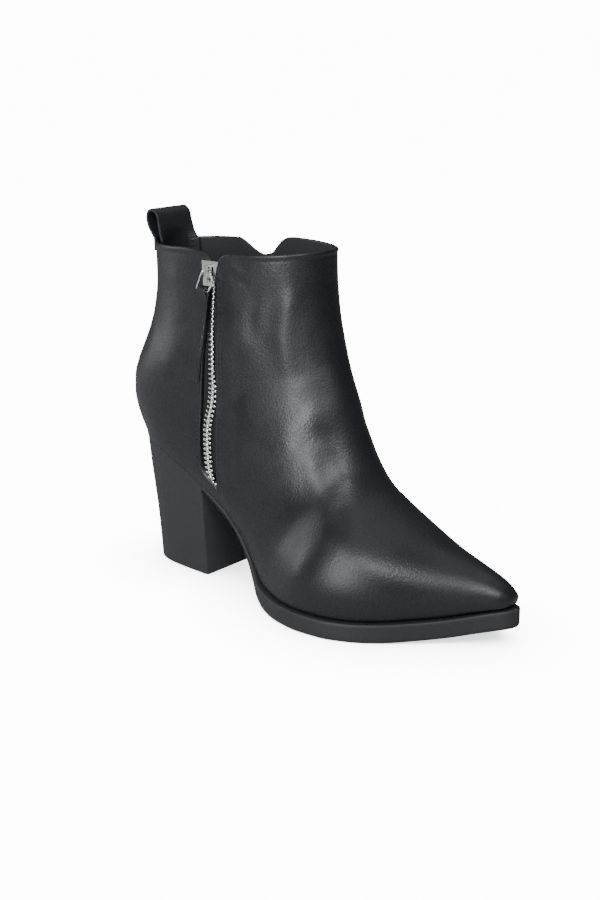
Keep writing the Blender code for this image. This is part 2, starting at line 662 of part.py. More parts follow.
def make_wire(mat):
    curve = bpy.data.curves.new("pull_wire", "CURVE")
    curve.dimensions = "3D"
    curve.bevel_depth = WIRE * MM
    curve.bevel_resolution = 2
    path = rounded(list(zip(RING["x"], RING["z"])), RING_BEND)
    spline = curve.splines.new("POLY")
    spline.points.add(len(path) - 1)
    for point, (x, z) in zip(spline.points, path):
        point.co = (*to_part((x, PULL_Y, z)), 1.0)
    spline.use_cyclic_u = True
    curve.materials.append(mat)
    obj = bpy.data.objects.new("pull_wire", curve)
    bpy.data.collections[PARTS].objects.link(obj)
    return obj


def make_tab(mat):
    """Leather strip up the front, round the wire and down the back."""
    down = Vector(TAB_END) - Vector(TAB_TOP)
    up = -down.normalized()
    across = up.cross(Vector((0.0, 1.0, 0.0))).normalized()
    out = up.cross(across).normalized()
    if out.y > 0.0:
        out.negate()
    front = list(zip(TAB["out"], (-down.length,) + TAB["up"][1:], TAB["half"]))
    line = front + [(-a, b, c) for a, b, c in front[-2::-1]]
    rings = []
    for i, (a, b, half) in enumerate(line):
        before, after = line[max(i - 1, 0)], line[min(i + 1, len(line) - 1)]
        run, rise = after[0] - before[0], after[1] - before[1]
        shift = 0.5 * LEATHER / math.hypot(run, rise)
        ring = []
        for side, way in ((1.0, 1.0), (1.0, -1.0), (-1.0, -1.0), (-1.0, 1.0)):
            offset = out * (a + side * shift * rise) + up * (b - side * shift * run)
            ring.append(Vector(TAB_TOP) + offset + across * (way * half))
        rings.append(ring)
    bm = bmesh.new()
    skin(bm, rings, closed=True)
    close_ends(bm)
    obj = add_object("pull_tab", bm, mat)
    obj.data.shade_flat()
    return obj


def make_pull(steel, leather):
    """Wire ring and folded leather tab, which swing together about the wire in the bridge."""
    hinge = bpy.data.objects.new("pull_hinge", None)
    bpy.data.collections[PARTS].objects.link(hinge)
    hinge.location = to_part(HINGE)
    add_to_pull(make_wire(steel), hinge)
    add_to_pull(make_tab(leather), hinge)


def back_x(y, z, depth):
    """x of the upper's back wall, depth inside its skin, at y."""
    side = LATERAL if y < 0.0 else MEDIAL
    low = column(BACK, "z", "x", z) + depth
    high = low + abs(y)
    for _ in range(12):
        x = 0.5 * (low + high)
        if abs(wall_y(x, z, side, depth)) < abs(y):
            low = x
        else:
            high = x
    return x


def make_pull_loop(mat):
    """Folded strip that stands over the back of the collar, one end outside and one inside."""
    half = 0.5 * LOOP_THICK
    depths = [LOOP["depth"][0] - half, LOOP["depth"][0] + half, LOOP["depth"][-1] - half,
              LOOP["depth"][-1] + half]
    across = spread(*LOOP_ENDS, LOOP_COLUMNS)
    seam = column(BACK, "z", "x", LOOP_LEVEL)
    bends = {y: [back_x(y, LOOP_LEVEL, depth) - seam - depth for depth in depths] for y in across}
    places = range(len(LOOP["z"]))
    line = [[float(curve_value(places, LOOP[name], v)) for name in ("depth", "z", "bend")]
            for v in spread(0.0, places[-1], LOOP_STEPS)]
    rings = []
    for i, (depth, z, bend) in enumerate(line):
        before, after = line[max(i - 1, 0)], line[min(i + 1, len(line) - 1)]
        run, rise = after[0] - before[0], after[1] - before[1]
        length = math.hypot(run, rise)
        ring = []
        for sign in (1.0, -1.0):
            near = (depth + sign * half * rise / length, z - sign * half * run / length)
            face = [(seam + near[0] + bend * float(np.interp(near[0], depths, bends[y])), y, near[1])
                    for y in across]
            ring += face[::int(sign)]
        rings.append(ring)
    bm = bmesh.new()
    skin(bm, rings, closed=True)
    close_ends(bm)
    return add_object("pull_loop", bm, mat)


def main():
    clear_scene()
    leather = material("upper_leather", INK, 0.42)
    steel = material("zip_metal", STEEL, 0.25, 1.0)
    make_upper(leather)
    make_outsole(material("sole_rubber", SOLE_INK, 0.6))
    make_heel(material("heel_cover", SOLE_INK, 0.55))
    make_insole(material("lining", INK, 0.8))
    make_zip_tape(material("zip_tape", INK, 0.85))
    make_zip_chain(steel)
    make_slider(material("slider_metal", STEEL, 0.18, 1.0))
    make_pull(material("wire_metal", STEEL, 0.2, 1.0), material("pull_leather", INK, 0.45))
    make_pull_loop(material("loop_leather", INK, 0.45))


main()
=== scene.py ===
"""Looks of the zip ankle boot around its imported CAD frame.

Metres, +Z up, toe towards +X, outer side towards -Y. Tables and lengths are in millimetres,
with x measured from the back edge of the heel at the floor; put() turns them into the frame.
"""

import math

import bmesh
import bpy
import numpy as np
from mathutils import Matrix, Vector


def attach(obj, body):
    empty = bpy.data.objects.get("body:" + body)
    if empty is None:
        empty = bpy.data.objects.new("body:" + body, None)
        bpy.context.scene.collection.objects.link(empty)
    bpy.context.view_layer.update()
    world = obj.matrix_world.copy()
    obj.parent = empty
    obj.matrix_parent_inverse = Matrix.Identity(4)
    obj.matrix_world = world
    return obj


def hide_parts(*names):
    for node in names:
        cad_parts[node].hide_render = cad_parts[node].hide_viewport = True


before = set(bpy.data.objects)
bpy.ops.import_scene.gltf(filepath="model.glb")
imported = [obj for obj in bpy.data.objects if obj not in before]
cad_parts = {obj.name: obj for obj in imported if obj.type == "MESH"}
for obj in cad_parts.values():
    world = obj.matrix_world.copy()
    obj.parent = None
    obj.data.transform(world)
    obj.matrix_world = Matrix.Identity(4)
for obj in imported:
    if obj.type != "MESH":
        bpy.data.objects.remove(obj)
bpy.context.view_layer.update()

MM = 0.001
HEEL_MIDDLE = 26.0    # from the back edge of the heel to the frame's origin
LATERAL, MEDIAL = -1.0, 1.0
TO_RIDGE, TO_BACK = 0, 1
WALL = 1.8            # leather and lining together
BACK_POWER = 2.45     # how squarely the wall turns behind its widest line

RIDGE = {             # the last's ridge in plan, from the shaft to the toe
    "x": (-20.0, 60.0, 100.0, 150.0, 200.0, 237.8),
    "y": (0.0, 0.0, 0.6, 2.8, 6.8, 11.0)}
FEATHER = {           # edge where the upper meets heel and sole: its height and both its outlines
    "x": (-6.5, -5.0, -1.0, 6.0, 19.0, 35.0, 50.0, 61.0, 70.0, 79.0, 88.0, 96.0, 104.0, 115.0, 128.0,
          142.0, 156.0, 170.0, 184.0, 198.0, 211.0, 222.0, 229.5, 234.5, 236.8, 237.8),
    "z": (77.0, 76.9, 76.4, 75.2, 71.5, 65.0, 57.0, 50.5, 43.5, 34.5, 24.5, 17.0, 12.5, 10.9, 10.5,
          10.5, 10.5, 10.6, 11.0, 12.0, 13.8, 16.2, 18.2, 19.4, 20.0, 20.3),
    "lateral": (0.0, -9.8, -17.8, -23.6, -27.2, -28.0, -27.8, -27.4, -26.6, -26.4, -27.8, -31.0, -35.6,
                -41.0, -46.0, -48.2, -47.2, -42.5, -33.6, -21.5, -10.5, -1.6, 3.4, 6.6, 8.8, 11.0),
    "medial": (0.0, 9.8, 17.8, 23.4, 27.0, 27.6, 26.8, 26.0, 25.2, 24.9, 25.2, 26.0, 27.2, 29.4, 31.4,
               32.4, 32.0, 30.6, 28.6, 26.2, 23.4, 20.6, 18.0, 15.6, 13.6, 11.0)}
BACK = {              # back seam
    "z": (77.0, 84.0, 91.0, 99.0, 109.0, 119.0, 129.0, 139.0, 152.0, 170.0, 186.0, 200.0),
    "x": (-6.5, -10.8, -14.0, -15.9, -16.0, -13.4, -8.9, -4.4, -0.2, 2.4, 2.2, 1.8)}
# Section planes from the toe to the heel's corner: where each starts on the ridge and ends on the
# feather edge, its half widths, at what share of its length it is widest, and how squarely.
FOOT = {
    "front_x": (237.8, 238.9, 236.0, 228.6, 217.2, 202.0, 185.0, 169.0, 159.0, 152.4, 147.2, 142.2,
                138.4, 135.2, 132.6, 131.3),
    "front_z": (20.3, 25.8, 29.8, 34.6, 39.4, 45.4, 54.8, 65.0, 73.6, 84.0, 94.5, 105.5,
                116.0, 125.0, 132.5, 137.0),
    "end_x": (237.8, 235.9, 231.8, 223.4, 211.6, 195.0, 176.0, 155.0, 133.0, 111.0, 90.0, 68.0,
              45.0, 22.0, 4.0, -6.5),
    "lateral": (0.0, 5.2, 9.2, 13.6, 20.6, 32.4, 45.6, 52.4, 51.6, 43.0, 36.0, 33.8,
                33.0, 32.8, 32.6, 32.5),
    "medial": (0.0, 4.6, 7.6, 11.0, 14.8, 20.4, 25.4, 30.0, 32.0, 31.4, 30.6, 30.4,
               30.6, 31.0, 31.2, 31.2),
    "widest": (0.72, 0.72, 0.72, 0.72, 0.72, 0.72, 0.72, 0.73, 0.74, 0.72, 0.70, 0.68,
               0.67, 0.66, 0.66, 0.66),
    "power": (2.0, 2.0, 2.0, 2.0, 2.0, 2.0, 1.95, 1.85, 1.75, 1.75, 1.8, 1.9,
              2.0, 2.05, 2.1, 2.1)}
# Section planes of the shaft, which end on the back seam.
SHAFT = {
    "front_x": (131.3, 129.0, 126.2, 123.6, 121.7, 121.0, 121.0),
    "front_z": (137.0, 145.0, 155.0, 167.0, 180.0, 192.0, 206.0),
    "end_z": (77.0, 90.0, 108.0, 130.0, 156.0, 178.0, 198.0),
    "lateral": (32.5, 32.4, 32.0, 29.8, 28.4, 28.6, 28.8),
    "medial": (31.2, 31.2, 31.0, 29.2, 28.0, 28.4, 28.8),
    "widest": (0.66, 0.64, 0.61, 0.56, 0.52, 0.50, 0.50),
    "power": (2.1, 2.15, 2.2, 2.3, 2.4, 2.4, 2.4)}
COLLAR = {            # height of the collar's edge
    LATERAL: {
        "x": (-30.0, 5.0, 18.0, 30.0, 44.0, 52.0, 59.3, 63.0, 65.2, 66.6, 68.2, 71.7, 76.5, 90.0, 106.0,
              118.0, 150.0),
        "z": (190.0, 190.2, 190.9, 191.4, 192.2, 191.6, 190.0, 187.6, 185.2, 184.8, 186.8, 190.2,
              191.7, 192.3, 193.3, 194.3, 195.5)},
    MEDIAL: {
        "x": (-30.0, 5.0, 21.0, 34.0, 39.0, 43.0, 47.0, 52.0, 58.0, 62.6, 65.6, 70.6, 78.0, 95.0, 106.0,
              118.0, 150.0),
        "z": (190.0, 190.2, 190.9, 191.2, 189.2, 186.6, 184.4, 182.8, 184.0, 188.4, 191.6, 194.0,
              194.7, 194.7, 194.6, 194.6, 195.5)}}
# Edges of the panels beside the zip; below the zip the front one goes on down to the sole.
SLIT = {
    "z": (30.0, 45.0, 58.6, 59.2, 60.4, 62.6, 65.6, 70.0, 78.0, 90.0, 106.0, 128.0, 146.0, 165.0,
          174.0, 183.0, 200.0),
    "rear": (69.0, 67.8, 66.9, 66.2, 64.0, 60.8, 57.6, 56.0, 55.6, 56.1, 57.1, 58.1, 58.6, 60.0,
             61.7, 63.7, 66.0),
    "front": (69.0, 67.8, 66.9, 66.95, 67.5, 68.0, 68.2, 68.4, 68.6, 68.5, 68.2, 67.6, 67.2, 66.7,
              66.8, 67.3, 68.6)}
SEAM = {              # seam between the panels on the inner side
    "z": (30.0, 60.0, 100.0, 140.0, 170.0, 184.0, 200.0),
    "x": (68.0, 64.0, 60.0, 57.0, 54.5, 53.5, 53.0)}
ZIP = {               # middle of the chain
    "z": (58.6, 60.6, 63.2, 67.0, 74.0, 88.0, 95.0, 101.0, 107.0, 114.0, 138.0, 145.0, 152.0, 163.0,
          175.0, 190.0),
    "x": (67.0, 65.0, 62.6, 61.6, 61.2, 61.1, 61.5, 62.7, 63.9, 64.8, 64.2, 63.2, 62.5, 62.6,
          63.9, 66.6)}


def curve(knots, values):
    """Monotone cubic through the knots, as a function of arrays."""
    x, y = np.asarray(knots, float), np.asarray(values, float)
    step, slope = np.diff(x), np.diff(y) / np.diff(x)
    tangent = np.zeros(len(x))
    same = slope[:-1] * slope[1:] > 0.0
    a, b = 2.0 * step[1:] + step[:-1], step[1:] + 2.0 * step[:-1]
    safe = np.where(slope == 0.0, 1.0, slope)
    tangent[1:-1] = np.where(same, (a + b) / (a / safe[:-1] + b / safe[1:]), 0.0)
    tangent[0], tangent[-1] = slope[0], slope[-1]
    return cubic(x, y, tangent)


def flowing(values, first=None, last=None):
    """Cubic with steady curvature through values at 0, 1, 2 and so on; first and last are its
    slopes at the ends, where they are given."""
    y = np.asarray(values, float)
    count = len(y)
    rows = 4.0 * np.eye(count) + np.eye(count, k=1) + np.eye(count, k=-1)
    known = np.zeros(count)
    known[1:-1] = 3.0 * (y[2:] - y[:-2])
    ends = ((0, 1, first, y[1] - y[0]), (count - 1, count - 2, last, y[-1] - y[-2]))
    for at, near, slope, rise in ends:
        rows[at] = 0.0
        rows[at, at], rows[at, near] = (2.0, 1.0) if slope is None else (1.0, 0.0)
        known[at] = 3.0 * rise if slope is None else slope
    return cubic(np.arange(count, dtype=float), y, np.linalg.solve(rows, known))


def cubic(x, y, tangent):
    """Cubic through the points with these tangents, as a function of arrays."""
    step = np.diff(x)

    def value(at):
        at = np.clip(at, x[0], x[-1])
        i = np.clip(np.searchsorted(x, at, side="right") - 1, 0, len(step) - 1)
        t = (at - x[i]) / step[i]
        return (y[i] * (1 + 2 * t) * (1 - t) ** 2 + tangent[i] * step[i] * t * (1 - t) ** 2
                + y[i + 1] * t * t * (3 - 2 * t) + tangent[i + 1] * step[i] * t * t * (t - 1))
    return value


def table_curves(table, by):
    return {name: curve(table[by], values) for name, values in table.items() if name != by}


ridge_y = curve(RIDGE["x"], RIDGE["y"])
feather = table_curves(FEATHER, "x")
back_x = curve(BACK["z"], BACK["x"])
slit = table_curves(SLIT, "z")
seam_x = curve(SEAM["z"], SEAM["x"])
zip_x = curve(ZIP["z"], ZIP["x"])
collar = {side: curve(line["x"], line["z"]) for side, line in COLLAR.items()}
LAST_FOOT = len(FOOT["front_x"]) - 1
LAST = LAST_FOOT + len(SHAFT["front_x"]) - 1
profile = [curve(range(LAST + 1), FOOT[name] + SHAFT[name][1:]) for name in ("front_x", "front_z")]
form = {name: flowing(FOOT[name] + SHAFT[name][1:])
        for name in ("lateral", "medial", "widest", "power")}
# The sections' ends stop for a moment at the heel's corner, so the wall has no crease there.
foot_end = flowing(FOOT["end_x"], last=0.0)
shaft_end = flowing(SHAFT["end_z"], first=0.0)


def feather_y(x, side):
    return feather["lateral" if side < 0 else "medial"](x)


def feather_slope(x):
    return (feather["z"](x + 1.0) - feather["z"](x - 1.0)) / 2.0


HEEL_CORNER = FEATHER["x"][0]
HEEL_CURVE = 19.0     # x up to which the feather edge turns round the heel
SHAFT_RISE = 1.1      # how far the shaft's planes rise at the heel, for each millimetre of depth


def cut_at(u, side, depth=0.0):
    """The section planes at u: their two ends and their shape on one side, depth inside the skin."""
    u = np.asarray(u, float)
    is_foot = u <= LAST_FOOT
    fx, fz = profile[0](u), profile[1](u)
    tx = profile[0](u + 0.25) - profile[0](u - 0.25)
    tz = profile[1](u + 0.25) - profile[1](u - 0.25)
    length = np.hypot(tx, tz)
    fx, fz = fx - depth * tz / length, fz + depth * tx / length
    ex = foot_end(u)
    edge = np.abs(feather_y(ex, side) - ridge_y(ex))
    at = ex + depth * np.clip((HEEL_CURVE - ex) / (HEEL_CURVE - HEEL_CORNER), 0.0, 1.0)
    slope = feather_slope(at)
    scale = depth / np.hypot(slope, 1.0)
    foot_x, foot_z = at - slope * scale, feather["z"](at) + scale
    radius = abs(float(feather_y(HEEL_CURVE, side)))
    edge = edge - depth * np.where(ex < HEEL_CURVE, edge / radius, 1.0)
    low, high = SHAFT["end_z"][0], SHAFT["end_z"][-1]
    sz = shaft_end(u - LAST_FOOT)
    sz = sz + SHAFT_RISE * depth * (high - sz) / (high - low)
    lean = (back_x(sz + 1.0) - back_x(sz - 1.0)) / 2.0
    shaft_x = back_x(sz) + depth * np.hypot(1.0, lean)
    edge = np.where(is_foot, np.maximum(edge, 0.0), 0.0)
    wide = form["lateral" if side < 0 else "medial"](u) - depth
    return {"fx": fx, "fz": fz,
            "ex": np.where(is_foot, foot_x, shaft_x), "ez": np.where(is_foot, foot_z, sz),
            "edge": edge, "wide": np.maximum(np.maximum(wide, edge), 1e-6),
            "widest": form["widest"](u), "power": form["power"](u)}


def wall(u, s, side, depth=0.0):
    """Points of the wall: u counts the sections, s goes from the ridge to the edge."""
    cut = cut_at(u, side, depth)
    x = cut["fx"] + (cut["ex"] - cut["fx"]) * s
    z = cut["fz"] + (cut["ez"] - cut["fz"]) * s
    top, power = cut["widest"], cut["power"]
    front = (1.0 - np.clip(1.0 - s / top, 0.0, 1.0) ** power) ** (1.0 / power)
    reach = (1.0 - np.clip(cut["edge"] / cut["wide"], 0.0, 1.0) ** BACK_POWER) ** (1.0 / BACK_POWER)
    turn = reach * np.clip((s - top) / (1.0 - top), 0.0, 1.0)
    rear = np.maximum(1.0 - turn ** BACK_POWER, 0.0) ** (1.0 / BACK_POWER)
    half = cut["wide"] * np.where(s <= top, front, rear)
    return np.stack([x, ridge_y(x) + side * half, z], axis=-1)


def place_of(x, z, side):
    """u and s of the wall's point seen at x, z."""
    low, high = np.full(np.shape(x), 0.5), np.full(np.shape(x), float(LAST))
    for _ in range(40):
        u = 0.5 * (low + high)
        cut = cut_at(u, side)
        rx, rz = cut["ex"] - cut["fx"], cut["ez"] - cut["fz"]
        ax, az = x - cut["fx"], z - cut["fz"]
        under = rx * az - rz * ax < 0.0
        low, high = np.where(under, u, low), np.where(under, high, u)
    s = (ax * rx + az * rz) / (rx * rx + rz * rz)
    return u, np.clip(s, 0.0, 1.0)


def on_wall(x, z, side):
    """The wall's point seen at x, z and its outward normal."""
    x, z = np.asarray(x, float), np.asarray(z, float)
    u, s = place_of(x, z, side)
    here = wall(u, s, side)
    du = wall(u + 0.05, s, side) - here
    ds = wall(u, np.clip(s + 0.01, 0, 1), side) - here
    normal = np.cross(du, ds)
    normal /= np.linalg.norm(normal, axis=-1, keepdims=True)
    flip = np.where(normal[..., 1] * side < 0.0, -1.0, 1.0)[..., None]
    return here, normal * flip


def crossing(u, edge_x, side):
    """s at which each section meets the line edge_x(z); 0 where it never does."""
    a, b = np.zeros(np.shape(u)), np.ones(np.shape(u))
    for _ in range(40):
        s = 0.5 * (a + b)
        p = wall(u, s, side)
        ahead = p[..., 0] > edge_x(p[..., 2])
        a, b = np.where(ahead, s, a), np.where(ahead, b, s)
    return s


def top_of(s_of, a, side, lift):
    """u at which each column, s = s_of(u, a), meets the collar edge, lift above it."""
    low, high = np.full(np.shape(a), 8.0), np.full(np.shape(a), float(LAST))
    for _ in range(40):
        u = 0.5 * (low + high)
        p = wall(u, s_of(u, a), side)
        under = p[..., 2] < collar[side](p[..., 0]) + lift
        low, high = np.where(under, u, low), np.where(under, high, u)
    return u


def smooth(low, high, at):
    """0 at low and 1 at high, with a soft start and end."""
    t = np.clip((at - low) / (high - low), 0.0, 1.0)
    return t * t * (3.0 - 2.0 * t)


def bump(at, width):
    """1 at 0, and next to nothing from width away."""
    return np.exp(-(at / (0.5 * width)) ** 2)


def put(points):
    """The frame's metres for points of the tables."""
    points = np.asarray(points, float) * MM
    points[..., 0] -= HEEL_MIDDLE * MM
    return points


def to_mesh(name, grids, loose=False):
    """One object from grids of points in millimetres; points that coincide are merged."""
    verts, faces, count = [], [], 0
    for grid in grids:
        rows, cols = grid.shape[:2]
        verts.append(grid.reshape(-1, 3))
        k = count + np.arange(rows * cols).reshape(rows, cols)
        faces.append(np.stack([k[:-1, :-1], k[:-1, 1:], k[1:, 1:], k[1:, :-1]], -1).reshape(-1, 4))
        count += rows * cols
    verts, faces = put(np.concatenate(verts)), np.concatenate(faces)
    mesh = bpy.data.meshes.new(name)
    mesh.from_pydata(verts.tolist(), [], faces.tolist())
    bm = bmesh.new()
    bm.from_mesh(mesh)
    bmesh.ops.remove_doubles(bm, verts=bm.verts[:], dist=0.01 * MM)
    bmesh.ops.dissolve_degenerate(bm, edges=bm.edges[:], dist=1e-7)
    if not loose:
        bmesh.ops.recalc_face_normals(bm, faces=bm.faces[:])
    bm.to_mesh(mesh)
    bm.free()
    mesh.shade_smooth()
    obj = bpy.data.objects.new(name, mesh)
    bpy.context.scene.collection.objects.link(obj)
    return obj


def use(obj, mat, replaced=None):
    """A piece of the boot's own body, and the CAD node that it stands for."""
    obj.data.materials.append(mat)
    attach(obj, "boot")
    if replaced:
        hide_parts(replaced)


# Soft troughs and ridges of the leather on each side: x, z along the line, height and width.
FOLDS = {
    LATERAL: [
        ([(114, 182), (110, 164), (108, 150), (110, 136), (114, 122)], 0.7, 5.0),
        ([(104, 184), (100, 165), (97, 148), (99, 130)], -0.5, 6.0),
        ([(84, 188), (79, 172), (80, 150), (84, 132)], 0.45, 6.0),
        ([(94, 178), (90, 160), (91, 142)], -0.4, 4.0),
        ([(72, 182), (78, 185), (86, 181)], 0.35, 2.5),
        ([(75, 178), (82, 179), (90, 174)], -0.3, 2.5),
        ([(134, 131), (122, 119), (104, 110), (90, 106)], -0.35, 7.0),
        ([(138, 117), (126, 108), (110, 101), (96, 98)], 0.2, 6.0),
        ([(143, 105), (130, 97), (114, 91)], -0.25, 6.0),
        ([(131, 95), (140, 75), (152, 63), (160, 54), (173, 43)], -0.55, 5.0),
        ([(126, 94), (135, 73), (151, 57), (167, 45), (179, 32)], 0.5, 5.0),
        ([(137, 96), (146, 78), (152, 70), (164, 53), (177, 43), (194, 34)], 0.5, 5.0),
        ([(150, 82), (146, 72), (150, 63)], 0.25, 4.0),
        ([(112, 84), (104, 66), (96, 48)], -0.1, 9.0),
        ([(26, 182), (36, 165), (44, 148)], 0.5, 7.0),
        ([(14, 160), (20, 140), (30, 120)], -0.4, 8.0)],
    MEDIAL: [
        ([(134, 131), (122, 119), (104, 110), (90, 106)], -0.8, 6.0),
        ([(143, 105), (130, 97), (114, 91)], -0.6, 5.0),
        ([(112, 182), (108, 160), (110, 136)], 0.5, 6.0),
        ([(150, 80), (140, 66), (134, 52)], -0.6, 5.0),
        ([(30, 180), (38, 160), (44, 140)], 0.4, 7.0)]}
TOPLINE = 0.9         # radius of the rolled topline
EDGE = 0.75           # radius of the panels' folded edges
LASTED = 1.8          # height over which the leather turns in above the sole
# Rows of stitches, by their distance from the edge: under the topline, beside the front panel's and
# the inner seam's edge, and beside the zip on the rear panel.
TOP_ROW = 2.75
FRONT_ROWS = (2.2, 4.2)
REAR_ROW = 2.4
GROOVE = 0.9          # width of the groove that a row of stitches pulls in
SHALLOW, DEEP = 0.16, 0.22    # depth of the grooves
TOP_FOLD, ZIP_FOLD, SEAM_FOLD = 0.30, 0.35, 0.45    # how far the double layers at the edges stand up
SKIVED = (16.0, 8.0)  # distances from the edge between which a double layer thins out
TOP_LAYER = (2.9, 2.3)    # the same under the topline
ZIP_FOOT = (62.0, 66.0)   # heights between which the row beside the zip starts


def relief(p, side):
    """How far the outer skin stands outside the plain wall, in millimetres."""
    x, z = p[..., 0], p[..., 2]
    under = collar[side](x) - z
    high = TOP_FOLD * smooth(*TOP_LAYER, under) - DEEP * bump(under - TOP_ROW, GROOVE)
    if side == LATERAL:
        ahead, behind = x - slit["front"](z), slit["rear"](z) - x
        front, layer, stitched = ZIP_FOLD, smooth(-0.6, 0.2, ahead), smooth(-0.6, 0.2, ahead)
        rear = smooth(-0.6, 0.2, behind) * smooth(*ZIP_FOOT, z)
        high = high - DEEP * rear * bump(behind - REAR_ROW, GROOVE)
    else:
        ahead = x - seam_x(z)
        front, layer, stitched = SEAM_FOLD, smooth(-0.3, 0.3, ahead), smooth(0.0, 0.5, ahead)
    high = high + front * layer * smooth(*SKIVED, ahead)
    for row in FRONT_ROWS:
        high = high - SHALLOW * stitched * bump(ahead - row, GROOVE)
    for line, height, width in FOLDS[side]:
        high = high + fold(x, z, line, height, width)
    above = (z - feather["z"](x)) / np.hypot(1.0, feather_slope(x))
    tuck = np.clip(1.0 - above / LASTED, 0.0, 1.0)
    return high - 0.5 * LASTED * (1.0 - np.sqrt(1.0 - tuck * tuck))


def fold(x, z, line, height, width):
    """Soft ridge or trough along a line of x, z points, fading at its ends."""
    line = np.asarray(line, float)
    best, along = np.full(x.shape, 1e9), np.zeros(x.shape)
    steps = np.hypot(*np.diff(line, axis=0).T)
    total, start = steps.sum(), 0.0
    for p, q, length in zip(line, line[1:], steps):
        t = np.clip(((x - p[0]) * (q[0] - p[0]) + (z - p[1]) * (q[1] - p[1])) / length ** 2, 0, 1)
        away = np.hypot(x - p[0] - t * (q[0] - p[0]), z - p[1] - t * (q[1] - p[1]))
        near = away < best
        best, along = np.where(near, away, best), np.where(near, start + t * length, along)
        start += length
    fade = smooth(0.0, 0.3, along / total) * smooth(1.0, 0.7, along / total)
    return height * fade * bump(best, 2.0 * width)


def spaced(count):
    """0 to 1, a little closer together towards 1."""
    t = np.linspace(0.0, 1.0, count + 1)
    return t + 0.15 * t * (1.0 - t)


def eased(line, u, s):
    """A column's points, averaged along it where the shaft's sections take over from the foot's."""
    spread = 0.6 / (u[1] - u[0])
    reach = int(3.0 * spread)
    weights = bump(np.arange(-reach, reach + 1), 2.8 * spread)[:, None]
    padded = np.pad(line, ((reach, reach), (0, 0)), mode="edge")
    mean = sum(w * padded[k:k + len(line)] for k, w in enumerate(weights)) / weights.sum()
    # In full within 1.2 sections of the foot's last one, and not near the back seam.
    share = smooth(3.2, 1.2, np.abs(u - LAST_FOOT)) * smooth(0.93, 0.75, s)
    return line + (mean - line) * share[:, None]


def roll(radius, angle, steps):
    """Points of a rolled edge: how far each is from its outermost line, and its depth."""
    return [(radius * (1.0 - math.sin(t)), radius * (1.0 - math.cos(t)))
            for t in np.linspace(0.0, angle, steps)]


RELIEF_DEPTH = 1.2    # depth in a rolled edge at which the skin's relief has faded out
EDGE_ROLL = roll(EDGE, 0.5 * math.pi, 5) + [(0.0, WALL + 0.5)]
TOP_ROLL = [(-lift, depth) for lift, depth in roll(TOPLINE, math.pi, 9)]


def spread_over(s_edge, shift, towards):
    """Place s of a panel's columns: 0 is at the ridge or back, 1 at the edge, shift inside it."""
    def s_of(u, column):
        end = s_edge(u, shift)
        return column * end if towards == TO_RIDGE else 1.0 - column * (1.0 - end)
    return s_of


def outward(u, s, side, towards):
    """The wall's normals, also where its tables end."""
    normal = np.cross(wall(u + 0.04, s, side) - wall(u - 0.04, s, side),
                      wall(u, np.clip(s + 0.004, 0, 1), side)
                      - wall(u, np.clip(s - 0.004, 0, 1), side))
    length = np.linalg.norm(normal, axis=-1, keepdims=True)
    normal = normal / np.maximum(length, 1e-9)
    forward = 0.2 if towards == TO_RIDGE else -0.2
    facing = normal[:, 1:2] * side + 0.2 * normal[:, 2:3] + forward * normal[:, :1]
    return normal * np.where(facing < 0.0, -1, 1)


def panel(side, first_u, rows, cols, s_edge, towards):
    """Grids of one panel, with the fold at its edge: its skin, and the roll over the topline."""
    inwards = 1.0 if towards == TO_RIDGE else -1.0
    a = np.linspace(0.0, 1.0, cols + 1)
    # Closest where the wall turns through the middle plane.
    a = a ** (1.8 if towards == TO_RIDGE else 2.2) * (1.9 - 0.9 * a)
    columns = [(v, EDGE, 0.0) for v in a] + [(1.0, shift, depth) for shift, depth in EDGE_ROLL[1:]]
    skin = [(b, TOP_ROLL[0][0], 0.0) for b in spaced(rows)]
    lip = [(1.0, lift, depth) for lift, depth in TOP_ROLL]
    grids = []
    for levels in (skin, lip):
        tops = {}
        for lift in {level[1] for level in levels}:
            for shift in {column[1] for column in columns}:
                at = [column[0] for column in columns if column[1] == shift]
                found = top_of(spread_over(s_edge, inwards * shift, towards), np.array(at), side, lift)
                tops.update({(v, shift, lift): float(u) for v, u in zip(at, found)})
        lines = []
        for v, shift, sink in columns:
            u = np.array([first_u + (tops[v, shift, lift] - first_u) * b for b, lift, _ in levels])
            depth = np.array([max(sink, down) for _, _, down in levels])
            s = spread_over(s_edge, inwards * shift, towards)(u, v)
            high = relief(wall(u, s, side), side) * np.clip(1.0 - depth / RELIEF_DEPTH, 0.0, 1.0)
            line = wall(u, s, side, depth) + outward(u, s, side, towards) * high[:, None]
            lines.append(eased(line, u, s) if levels is skin else line)
        grids.append(np.stack(lines, axis=1))
    return grids


def lining_grid(side, first_u, rows, cols, s_edge, towards):
    """The inside of one panel, up to where the rolled topline ends."""
    s_of = spread_over(s_edge, 0.0, towards)
    v = np.linspace(0.0, 1.0, cols + 1)
    top = top_of(s_of, v, side, -TOPLINE)
    b = np.linspace(0.0, 1.0, rows + 1)[:, None]
    u = first_u + (top - first_u) * b
    return wall(u, s_of(u, np.broadcast_to(v, u.shape)), side, WALL)


def edge_of(side, towards):
    """Place s of a panel's edge in each section, as a function of u and of a shift along x."""
    line = seam_x if side == MEDIAL else slit["front" if towards == TO_RIDGE else "rear"]
    places, known = np.linspace(0.0, float(LAST), 1500), {}

    def at(u, shift):
        if shift not in known:
            known[shift] = crossing(places, lambda z: line(z) + shift, side)
        return np.interp(u, places, known[shift])
    return at


def first_rear(side):
    """u at which the seam between the panels meets the sole."""
    line = slit["front"] if side == LATERAL else seam_x
    low, high = 8.0, 14.0
    for _ in range(30):
        u = 0.5 * (low + high)
        p = wall(np.array([u]), np.array([1.0]), side)[0]
        low, high = (u, high) if p[0] > line(p[2]) else (low, u)
    return high


